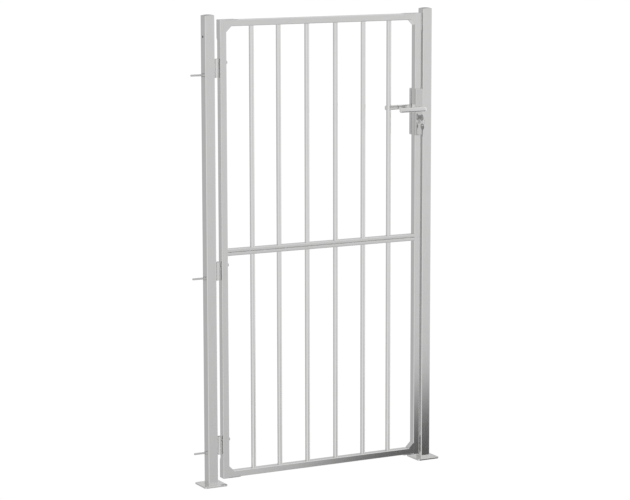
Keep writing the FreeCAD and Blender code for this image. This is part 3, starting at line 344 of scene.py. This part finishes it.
# --------------------------------------------------------------------------------------------------
# Bars: six 19 mm round tubes in each half frame, set on the rails and welded all round at both ends.
BARS = [f"{half}_bar_{at}" for half in ("upper", "lower") for at in range(1, 7)]
BAR_SEAM_RADIUS = 0.0096
dress(upright_satin, *BARS)
bar_seams = []
for name in BARS:
    x = middle(name, 0)
    for z in (corner[2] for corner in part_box(name)):
        bar_seams.append([(x + BAR_SEAM_RADIUS * math.cos(turn), BAR_SEAM_RADIUS * math.sin(turn), z)
                          for turn in (math.tau * step / 24 for step in range(24))])
weld("bar_welds", bar_seams, "leaf", radius=0.0009, seed=4)


# --------------------------------------------------------------------------------------------------
# Hinges: three turned barrel pairs. Each barrel carries a threaded M8 stud, welded to it, which passes
# through the post or the stile and is held with chamfered nuts, so the gap can be adjusted.
turned_steel = steel("turned_steel", 0.84, 0.16, (60, 60, 1500), patch=0.03)
drawn_steel = steel("drawn_steel", 0.66, 0.20, (40, 900, 900), patch=0.05)
dress(turned_steel, "post_knuckles", "leaf_knuckles", "hinge_pins", "hinge_washers")


def ring(place, axis, along, radius, count=32):
    """Points round an axis through place. along and radius are numbers or functions of the angle."""
    points = []
    for step in range(count):
        turn = math.tau * step / count
        reach = radius(turn) if callable(radius) else radius
        offset = along(turn) if callable(along) else along
        across = (reach * math.cos(turn), reach * math.sin(turn))
        spot = {"X": (offset, *across), "Y": (across[0], offset, across[1]), "Z": (*across, offset)}[axis]
        points.append(Vector(place) + Vector(spot))
    return points


def threaded_rod(place, start, end, outside=0.004, core=0.0034, pitch=0.00125):
    """Rings of a rod along X with a true helical thread and chamfered ends."""
    count = round((end - start) / (pitch / 4))
    rings = []
    for step in range(count + 1):
        along = start + (end - start) * step / count
        reach = core - 0.0004 + min(along - start, end - along)

        def thread(turn):
            phase = (along / pitch - turn / math.tau) % 1
            return min(core + (outside - core) * (1 - abs(2 * phase - 1)), reach)

        rings.append(ring(place, "X", along, thread, 16))
    return rings


def six_sided(flats, turn):
    """The reach of a hexagon at an angle. flats is half its width across flats."""
    return flats / math.cos((turn + math.pi / 6) % (math.pi / 3) - math.pi / 6)


def nut_rings(place, start, height, flats=0.0065, bore=0.0041, bevel=0.0005):
    """Rings of a hexagon nut along X, chamfered at both faces and countersunk at its bore."""
    end = start + height
    face = flats * 0.96

    def hexagon(turn):
        return six_sided(flats, turn)

    def chamfer(turn):
        return start + (hexagon(turn) - face) * 0.55

    def far_chamfer(turn):
        return end - (hexagon(turn) - face) * 0.55

    stack = ((start + bevel, bore), (start, bore + bevel), (start, face), (chamfer, hexagon),
             (far_chamfer, hexagon), (end, face), (end, bore + bevel), (end - bevel, bore))
    return [ring(place, "X", along, radius, 48) for along, radius in stack]


# The lower end of each barrel pair, and how far above it the post's and the leaf's studs are.
HINGE_FEET = (1.566, 0.795, 0.117)
POST_STUDS = [(0, 0, foot + 0.0122) for foot in HINGE_FEET]
LEAF_STUDS = [(0, 0, foot + 0.0564) for foot in HINGE_FEET]
POST_STUD_ENDS = [corner[0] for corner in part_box("post_studs")]
LEAF_STUD_ENDS = [corner[0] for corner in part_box("leaf_studs")]
# Where each nut starts along X, and its height. The one between post and barrel is thin.
OUTER_NUT = (-0.0265, 0.0065)
INNER_NUT = (0.020, 0.004)
LEAF_NUT = (0.0715, 0.0065)
post_rods = [threaded_rod(place, *POST_STUD_ENDS) for place in POST_STUDS]
leaf_rods = [threaded_rod(place, *LEAF_STUD_ENDS) for place in LEAF_STUDS]
post_nuts = [nut_rings(place, *nut) for nut in (OUTER_NUT, INNER_NUT) for place in POST_STUDS]
leaf_nuts = [nut_rings(place, *LEAF_NUT) for place in LEAF_STUDS]
add_piece("threaded_post_studs", shell_mesh("threaded_post_studs", post_rods, drawn_steel, crease=80),
          "posts", "bright_steel", "post_studs")
add_piece("threaded_leaf_studs", shell_mesh("threaded_leaf_studs", leaf_rods, drawn_steel, crease=80),
          "leaf", "bright_steel", "leaf_studs")
add_piece("chamfered_post_nuts", shell_mesh("chamfered_post_nuts", post_nuts, drawn_steel, looped=True),
          "posts", "bright_steel", "post_stud_nuts")
add_piece("chamfered_leaf_nuts", shell_mesh("chamfered_leaf_nuts", leaf_nuts, drawn_steel, looped=True),
          "leaf", "bright_steel", "leaf_stud_nuts")


BARREL_X = middle("post_knuckles", 0)
BARREL_RADIUS = 0.0081
STUD_SEAM_RADIUS = 0.0044


def barrel_seam(place, side):
    """The line where a stud meets its barrel, on the side towards the post (-1) or the leaf (1)."""
    points = []
    for step in range(20):
        turn = math.tau * step / 20
        y = STUD_SEAM_RADIUS * math.cos(turn)
        points.append((BARREL_X + side * math.sqrt(BARREL_RADIUS ** 2 - y * y), y,
                       place[2] + STUD_SEAM_RADIUS * math.sin(turn)))
    return points


weld("post_hinge_welds", [barrel_seam(place, -1) for place in POST_STUDS], "posts", radius=0.0008, seed=7)
weld("leaf_hinge_welds", [barrel_seam(place, 1) for place in LEAF_STUDS], "leaf", radius=0.0008, seed=8)


# --------------------------------------------------------------------------------------------------
# Lock: a steel case in the stile with its faceplate on the stile's edge, a latch bolt with its spring, a
# deadbolt, and a strike plate on the post. The covers are cast and satin finished, a shade darker.
lock_satin = steel("lock_satin", 0.76, 0.12, (1100, 900, 20), patch=0.02)
dress(upright_satin, "strike_plate", "lock_faceplate")
dress(drawn_steel, "spindle", "latch_bolt", "deadbolt", "lock_case", "cylinder_screw")
dress(turned_steel, "follower", "cylinder_cam")
dress(lock_satin, "front_escutcheon", "back_escutcheon")

# The spring: seven turns of round wire along X, behind the latch bolt.
LATCH_Z = middle("latch_spring", 2)
SPRING_START = 0.8916
SPRING_LENGTH = 0.0183
SPRING_RADIUS = 0.00265
WIRE_RADIUS = 0.00035
TURN_STEPS = 24
coil_steps = 7 * TURN_STEPS
wire = []
for step in range(coil_steps + 1):
    turn = math.tau * step / TURN_STEPS
    across = Vector((0, math.cos(turn), math.sin(turn)))
    centre = Vector((SPRING_START + SPRING_LENGTH * step / coil_steps, 0, LATCH_Z)) + across * SPRING_RADIUS
    wire.append([centre + (across * math.cos(part) + Vector((math.sin(part), 0, 0))) * WIRE_RADIUS
                 for part in (math.tau * at / 8 for at in range(8))])
spring = add_piece("coiled_latch_spring", shell_mesh("coiled_latch_spring", [wire], drawn_steel, crease=60),
                   "leaf", "bright_steel", "latch_spring")
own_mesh(spring)


def screw_tree():
    """Repeats the screw it is given along a line."""
    tree = bpy.data.node_groups.new("screw_row", "GeometryNodeTree")
    for name, kind in (("Screw", "Geometry"), ("Count", "Int"), ("Step", "Vector"), ("Finish", "Material")):
        tree.interface.new_socket(name, in_out="INPUT", socket_type="NodeSocket" + kind)
    tree.interface.new_socket("Screws", in_out="OUTPUT", socket_type="NodeSocketGeometry")
    given = tree.nodes.new("NodeGroupInput").outputs
    line = node(tree, "GeometryNodeMeshLine", [("Count", given["Count"]), ("Offset", given["Step"])])
    placed = node(tree, "GeometryNodeInstanceOnPoints", [("Points", line.outputs[0]),
                                                         ("Instance", given["Screw"])])
    solid = node(tree, "GeometryNodeRealizeInstances", [("Geometry", placed.outputs[0])])
    finish = node(tree, "GeometryNodeSetMaterial", [("Geometry", solid.outputs[0]),
                                                    ("Material", given["Finish"])])
    node(tree, "NodeGroupOutput", [("Screws", finish.outputs[0])])
    return tree


def screws(name, place, axis, stack, step, on_body, stands_for):
    """Two like screws. stack gives the first one's rings as (distance along the axis, radius)."""
    screw = shell_mesh(name, [[ring(place, axis, along, radius) for along, radius in stack]], drawn_steel)
    pair = grown(screw, row_tree, {"Count": 2, "Step": (0.0, 0.0, step), "Finish": drawn_steel})
    add_piece(name, pair, on_body, "bright_steel", stands_for)


def socket_drive(turn):
    return six_sided(0.0014, turn)


def cross_drive(turn):
    return 0.0006 + 0.0015 * abs(math.cos(2 * turn)) ** 5


row_tree = screw_tree()
LOCK_X = middle("spindle", 0)
LOWER_SCREW_Z = 1.3155
LOCK_SCREW_STEP = 0.164
STRIKE_SCREW_Z = 1.323
STRIKE_SCREW_STEP = 0.161
COVER_BOLT = ((-0.024, 0.0021), (-0.0236, 0.0025), (0.0265, 0.0025), (0.0265, 0.0045), (0.0275, 0.0045),
              (0.0279, 0.0042), (0.0280, 0.0038), (0.0280, socket_drive), (0.0268, socket_drive))
FACEPLATE_SCREW = ((0.9055, 0.0008), (0.9075, 0.0025), (0.9140, 0.0025), (0.9153, 0.0044),
                   (0.9155, 0.0044), (0.9155, cross_drive), (0.9143, cross_drive))
STRIKE_SCREW = ((0.9305, 0.0008), (0.9285, 0.0025), (0.9200, 0.0025), (0.9187, 0.0044),
                (0.9185, 0.0044), (0.9185, cross_drive), (0.9197, cross_drive))
screws("cover_bolts", (LOCK_X, 0, LOWER_SCREW_Z), "Y", COVER_BOLT, LOCK_SCREW_STEP,
       "leaf", "escutcheon_screws")
screws("faceplate_cross_screws", (0, 0, LOWER_SCREW_Z), "X", FACEPLATE_SCREW, LOCK_SCREW_STEP,
       "leaf", "faceplate_screws")
screws("strike_cross_screws", (0, 0, STRIKE_SCREW_Z), "X", STRIKE_SCREW, STRIKE_SCREW_STEP,
       "posts", "strike_screws")


# --------------------------------------------------------------------------------------------------
# Levers: flat cast grips with a crowned face on a round neck, satin along the grip, with a highlight painted
# at the neck end as a paler colour. Each turns in a narrow bearing ring on its cover.
def blended(tree, factor, first, second):
    """Mixes two colours or colour sockets."""
    made = node(tree, "ShaderNodeMix", [(0, factor), (6, first), (7, second)], data_type="RGBA")
    return made.outputs[2]


def lever_satin_with_painted_highlight():
    material = steel("lever_satin", 0.88, 0.10, (22, 1000, 1000), patch=0.02)
    tree = material.node_tree
    shader = next(each for each in tree.nodes if each.type == "BSDF_PRINCIPLED")
    place = node(tree, "ShaderNodeTexCoord").outputs["Object"]
    side = node(tree, "ShaderNodeSeparateXYZ", [("Vector", place)])
    # Painted highlight: along X the colour turns from the satin grey to a pale grey at the neck end, standing
    # in for a bright reflection.
    painted_highlight = node(tree, "ShaderNodeMapRange", [("Value", side.outputs["X"]), ("From Min", 0.898),
                                               ("From Max", 0.909)], interpolation_type="SMOOTHSTEP")
    satin = shader.inputs["Base Color"].links[0].from_socket
    tree.links.new(blended(tree, painted_highlight.outputs[0], satin, grey(0.97)), shader.inputs["Base Color"])
    return material


SPINDLE = (LOCK_X, 0, middle("spindle", 2))
GRIP_X = middle("front_lever", 0)
GRIP_HALF_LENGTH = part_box("front_lever")[1][0] - GRIP_X
GRIP_HALF_HEIGHT = 0.009
GRIP_CORNER = 0.005
# Distances from the leaf's middle plane, each with an inset from the grip's edge or with a radius.
GRIP_STACK = ((0.0540, 0.0022), (0.0542, 0.0012), (0.0548, 0.0003), (0.0558, 0.0), (0.0618, 0.0),
              (0.0628, 0.0003), (0.0635, 0.0012), (0.0639, 0.0030), (0.0640, 0.0055))
NECK_STACK = ((0.0240, 0.0085), (0.0243, 0.0088), (0.0300, 0.0088), (0.0480, 0.0086), (0.0510, 0.0088),
              (0.0530, 0.0090), (0.0550, 0.0090))
BEARING_STACK = ((0.0262, 0.0092), (0.0282, 0.0092), (0.0285, 0.0096), (0.0285, 0.0112), (0.0280, 0.0118),
                 (0.0262, 0.0120))


def grip_ring(y, inset):
    """A rounded outline of the grip, drawn in from its edge by inset."""
    half_length = GRIP_HALF_LENGTH - inset
    half_height = GRIP_HALF_HEIGHT - inset
    corner = max(GRIP_CORNER - inset, 0.001)
    points = []
    for quarter, (along, up) in enumerate(((1, 1), (-1, 1), (-1, -1), (1, -1))):
        for step in range(9):
            turn = math.radians(90 * quarter + 11.25 * step)
            points.append((GRIP_X + along * (half_length - corner) + corner * math.cos(turn), y,
                           SPINDLE[2] + up * (half_height - corner) + corner * math.sin(turn)))
    return points


lever_satin = lever_satin_with_painted_highlight()
for end, side in (("front", -1), ("back", 1)):
    grip = [grip_ring(side * y, inset) for y, inset in GRIP_STACK]
    neck = [ring(SPINDLE, "Y", side * y, radius, 48) for y, radius in NECK_STACK]
    collar = [ring(SPINDLE, "Y", side * y, radius, 48) for y, radius in BEARING_STACK]
    add_piece(f"{end}_grip", shell_mesh(f"{end}_grip", [grip, neck], lever_satin, crease=50),
              "levers", "lock_steel", f"{end}_lever")
    add_piece(f"{end}_bearing_ring", shell_mesh(f"{end}_bearing_ring", [collar], turned_steel, looped=True),
              "leaf", "bright_steel")


# --------------------------------------------------------------------------------------------------
# Cylinder and keys: a nickel-plated lock cylinder with a key in it, and a second key on a split ring.
# The keys are stamped from 2 mm sheet: a round bow with a slot, a shoulder, and cuts along one edge.
nickel = steel("nickel", 0.60, 0.14, (300, 300, 300), patch=0.06, scratch=0.2)
key_steel = steel("key_steel", 0.38, 0.16, (200, 500, 500), patch=0.08, scratch=0.2)
dress(nickel, "cylinder_body", "front_plug", "rear_plug")
BOW_RADIUS = 0.0125
# Places on the outline, as (distance from the bow's middle, distance from the key's middle line). The cuts
# run along one edge from the shoulder to the tip and round it.
SHOULDER = (0.0135, 0.0046)
BLADE = (0.0142, 0.0038)
KEY_CUTS = ((0.0155, -0.0038), (0.0163, -0.0026), (0.0185, -0.0026), (0.0195, -0.0016), (0.0215, -0.0016),
            (0.0226, -0.0028), (0.0246, -0.0028), (0.0257, -0.0012), (0.0277, -0.0012), (0.0288, -0.0022),
            (0.0308, -0.0022), (0.0319, -0.0014), (0.0335, -0.0014), (0.0357, -0.0034), (0.0395, 0.0),
            (0.0357, 0.0038))
SLOT_MIDDLE = -0.0055
SLOT_HALF_WIDTH = 0.00125
SLOT_HALF_LENGTH = 0.00675
SLOT_CORNER = 0.001
HALF_SHEET = 0.001
STAMPED_EDGE = 0.00025


def key_piece(name, placed, on_body, stands_for):
    """A key. placed turns (along the key from the bow's middle, across it, through it) into a point."""
    outline = []
    for step in range(41):
        turn = math.radians(20 + 320 * step / 40)
        outline.append((BOW_RADIUS * math.cos(turn), BOW_RADIUS * math.sin(turn)))
    outline += [(SHOULDER[0], -SHOULDER[1]), (BLADE[0], -BLADE[1]), *KEY_CUTS, BLADE, SHOULDER]
    slot = []
    for along, across, first in ((-1, -1, 180), (1, -1, 270), (1, 1, 0), (-1, 1, 90)):
        for step in range(5):
            turn = math.radians(first + 22.5 * step)
            slot.append((SLOT_MIDDLE + along * SLOT_HALF_WIDTH + SLOT_CORNER * math.cos(turn),
                         across * SLOT_HALF_LENGTH + SLOT_CORNER * math.sin(turn)))
    shape = bmesh.new()
    for loop in (outline, slot):
        corners = [shape.verts.new((u, v, -HALF_SHEET)) for u, v in loop]
        for at, corner in enumerate(corners):
            shape.edges.new((corner, corners[(at + 1) % len(corners)]))
    bmesh.ops.triangle_fill(shape, use_beauty=True, edges=shape.edges)
    raised = bmesh.ops.extrude_face_region(shape, geom=shape.faces[:])
    for moved in raised["geom"]:
        if isinstance(moved, bmesh.types.BMVert):
            moved.co.z = HALF_SHEET
    bmesh.ops.dissolve_limit(shape, angle_limit=math.radians(1), verts=shape.verts, edges=shape.edges)
    rim = [edge for edge in shape.edges if abs(edge.calc_face_angle(0) - math.pi / 2) < 0.2
           and abs(edge.verts[0].co.z - edge.verts[1].co.z) < 1e-6]
    bmesh.ops.bevel(shape, geom=rim, offset=STAMPED_EDGE, segments=2, affect="EDGES", clamp_overlap=True)
    for corner in shape.verts:
        corner.co = placed(*corner.co)
    add_piece(name, smooth_mesh(name, shape, key_steel), on_body, "nickel_plate", stands_for)


# One key points along +Y into the plug, and the other hangs down from its bow.
bow_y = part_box("key")[0][1] + BOW_RADIUS
key_z = middle("key", 2)
spare_y = middle("spare_key", 1)
bow_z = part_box("spare_key")[1][2] - BOW_RADIUS
key_piece("cut_key", lambda u, v, w: Vector((LOCK_X + w, bow_y + u, key_z + v)), "turning_key", "key")
key_piece("cut_spare_key", lambda u, v, w: Vector((LOCK_X + w, spare_y + v, bow_z - u)),
          "hanging_key", "spare_key")

# The split ring: two turns of flattened wire. Half way it steps over, to lie beside its first turn.
RING_RADIUS = 0.011
RING_STEP = 0.00106
RING_WIRE_OUT = 0.0006
RING_WIRE_ALONG = 0.0005
first_y = middle("key_ring", 1) - RING_STEP / 2
ring_z = middle("key_ring", 2)
coil = []
for step in range(145):
    turn = math.radians(5 * step - 100)
    way = min(max((step - 64) / 16, 0), 1)
    outward = Vector((math.cos(turn), 0, math.sin(turn)))
    centre = Vector((LOCK_X, first_y + RING_STEP * way * way * (3 - 2 * way), ring_z)) + outward * RING_RADIUS
    coil.append([centre + outward * (RING_WIRE_OUT * math.cos(part))
                 + Vector((0, RING_WIRE_ALONG * math.sin(part), 0))
                 for part in (math.tau * at / 12 for at in range(12))])
add_piece("split_key_ring", shell_mesh("split_key_ring", [coil], drawn_steel, crease=60),
          "key_ring", "bright_steel", "key_ring")


# --------------------------------------------------------------------------------------------------
# Floor and backdrop: a plain white sweep, seen by the camera and left out of the steel's reflections.
def white_sheet(name, points, faces):
    mesh = bpy.data.meshes.new(name)
    mesh.from_pydata(points, [], faces)
    sheet = bpy.data.objects.new(name, mesh)
    bpy.context.scene.collection.objects.link(sheet)
    mesh.materials.append(paper)
    for sight in ("visible_glossy", "visible_diffuse", "visible_transmission", "visible_shadow"):
        setattr(sheet, sight, False)


paper, tree = new_material("paper")
speck = node(tree, "ShaderNodeTexNoise", [("Scale", 2.0), ("Detail", 2.0)])
pale = blended(tree, speck.outputs["Fac"], (0.98, 0.98, 0.98, 1), (1, 1, 1, 1))
glow = node(tree, "ShaderNodeEmission", [("Color", pale), ("Strength", 1.02)])
node(tree, "ShaderNodeOutputMaterial", [("Surface", glow.outputs[0])])
FAR = 90
FLOOR = -0.0005
WALL_PARTS = 48
white_sheet("floor", [(x, y, FLOOR) for x, y in ((-FAR, -FAR), (FAR, -FAR), (FAR, FAR), (-FAR, FAR))],
            [(0, 1, 2, 3)])
rim = [(FAR * math.cos(turn), FAR * math.sin(turn))
       for turn in (math.tau * at / WALL_PARTS for at in range(WALL_PARTS))]
wall_faces = []
for at in range(WALL_PARTS):
    after = (at + 1) % WALL_PARTS
    wall_faces.append((at, after, WALL_PARTS + after, WALL_PARTS + at))
white_sheet("backdrop", [(x, y, z) for z in (-1, 60) for x, y in rim], wall_faces)


# --------------------------------------------------------------------------------------------------
# Studio: a wide soft ring of light, brightest behind to the right and dimmest behind to the left, with a
# low dark corner at the front right that shows in the foot of the gate.
world = bpy.data.worlds.new("studio")
bpy.context.scene.world = world
world.use_nodes = True
tree = world.node_tree
tree.nodes.clear()
ray = node(tree, "ShaderNodeTexCoord").outputs["Generated"]
parts = node(tree, "ShaderNodeSeparateXYZ", [("Vector", ray)])
# Compass angle of the ray, from 0 towards +Y through 0.25 towards +X.
compass = node(tree, "ShaderNodeMath", [(0, parts.outputs["X"]), (1, parts.outputs["Y"])],
               operation="ARCTAN2")
part_turn = node(tree, "ShaderNodeMath", [(0, compass.outputs[0]), (1, math.tau)], operation="DIVIDE")
around = node(tree, "ShaderNodeMath", [(0, part_turn.outputs[0]), (1, 1.0), (2, 0.0)], operation="WRAP")
# Height of the ray, from 0 straight down to 1 straight up.
rise = node(tree, "ShaderNodeMapRange", [("Value", parts.outputs["Z"]), ("From Min", -1.0),
                                         ("From Max", 1.0)])


def ramp(factor, stops):
    """A smooth run of grey levels, given as (position, level) up to 2."""
    made = node(tree, "ShaderNodeValToRGB", [("Fac", factor.outputs[0])])
    made.color_ramp.interpolation = "B_SPLINE"
    while len(made.color_ramp.elements) < len(stops):
        made.color_ramp.elements.new(0.5)
    for element, (position, level) in zip(made.color_ramp.elements, stops):
        element.position = position
        element.color = (level / 2, level / 2, level / 2, 1)
    scaled = node(tree, "ShaderNodeMath", [(0, made.outputs["Color"]), (1, 2.0)], operation="MULTIPLY")
    return scaled.outputs[0]


ring_light = ramp(around, [(0.0, 0.66), (0.07, 1.0), (0.17, 0.80), (0.25, 0.85), (0.33, 0.89),
                           (0.375, 0.83), (0.405, 0.73), (0.436, 0.64), (0.5, 0.75), (0.57, 0.87),
                           (0.64, 0.79), (0.71, 0.756), (0.78, 0.62), (0.86, 0.54), (0.93, 0.475),
                           (1.0, 0.57)])
height = ramp(rise, [(0.0, 0.9), (0.3, 0.94), (0.4, 0.98), (0.5, 1.0), (0.56, 0.97), (0.7, 1.0), (1.0, 1.1)])
# Low down, the light from the front falls off.
front_fall = ramp(rise, [(0.0, 0.8), (0.3, 0.80), (0.37, 0.84), (0.41, 0.92), (0.445, 0.99), (0.5, 1.0),
                         (1.0, 1.0)])
front_share = ramp(around, [(0.0, 0.0), (0.34, 0.0), (0.40, 0.8), (0.44, 1.0), (0.48, 0.8), (0.54, 0.0),
                            (1.0, 0.0)])
fallen = node(tree, "ShaderNodeMix", [("Factor", front_share), ("A", 1.0), ("B", front_fall)])
lit_ring = node(tree, "ShaderNodeMath", [(0, ring_light), (1, height)], operation="MULTIPLY")
lit = node(tree, "ShaderNodeMath", [(0, lit_ring.outputs[0]), (1, fallen.outputs[0])],
           operation="MULTIPLY")


def dim_patch(light, bearing, lift, inner, outer, least):
    """light, dimmed to least inside a soft-edged patch of the studio. Angles are in degrees."""
    flat = math.cos(math.radians(lift))
    aim = (math.sin(math.radians(bearing)) * flat, math.cos(math.radians(bearing)) * flat,
           math.sin(math.radians(lift)))
    toward = node(tree, "ShaderNodeVectorMath", [(0, ray), (1, aim)], operation="DOT_PRODUCT")
    angle = node(tree, "ShaderNodeMath", [(0, toward.outputs["Value"])], operation="ARCCOSINE")
    edge = node(tree, "ShaderNodeMapRange", [("Value", angle.outputs[0]), ("From Min", math.radians(inner)),
                                             ("From Max", math.radians(outer)), ("To Min", least),
                                             ("To Max", 1.0)], interpolation_type="SMOOTHSTEP")
    return node(tree, "ShaderNodeMath", [(0, light), (1, edge.outputs[0])], operation="MULTIPLY").outputs[0]


# The dark corner comes first, then three patches behind the gate: a low one that shows in rounded lower
# edges seen at a slant, and two raised ones that show in what faces upwards, such as the caps.
studio = dim_patch(lit.outputs[0], 145.45, -20.42, 8.3, 9.6, 0.13)
studio = dim_patch(studio, 29, -18.5, 8.5, 10.5, 0.1)
studio = dim_patch(studio, 29, 8, 5, 11, 0.68)
studio = dim_patch(studio, 29, 30, 12, 17, 0.4)
sky = node(tree, "ShaderNodeBackground", [("Color", (1, 1, 1, 1)), ("Strength", studio)])
node(tree, "ShaderNodeOutputWorld", [("Surface", sky.outputs[0])])
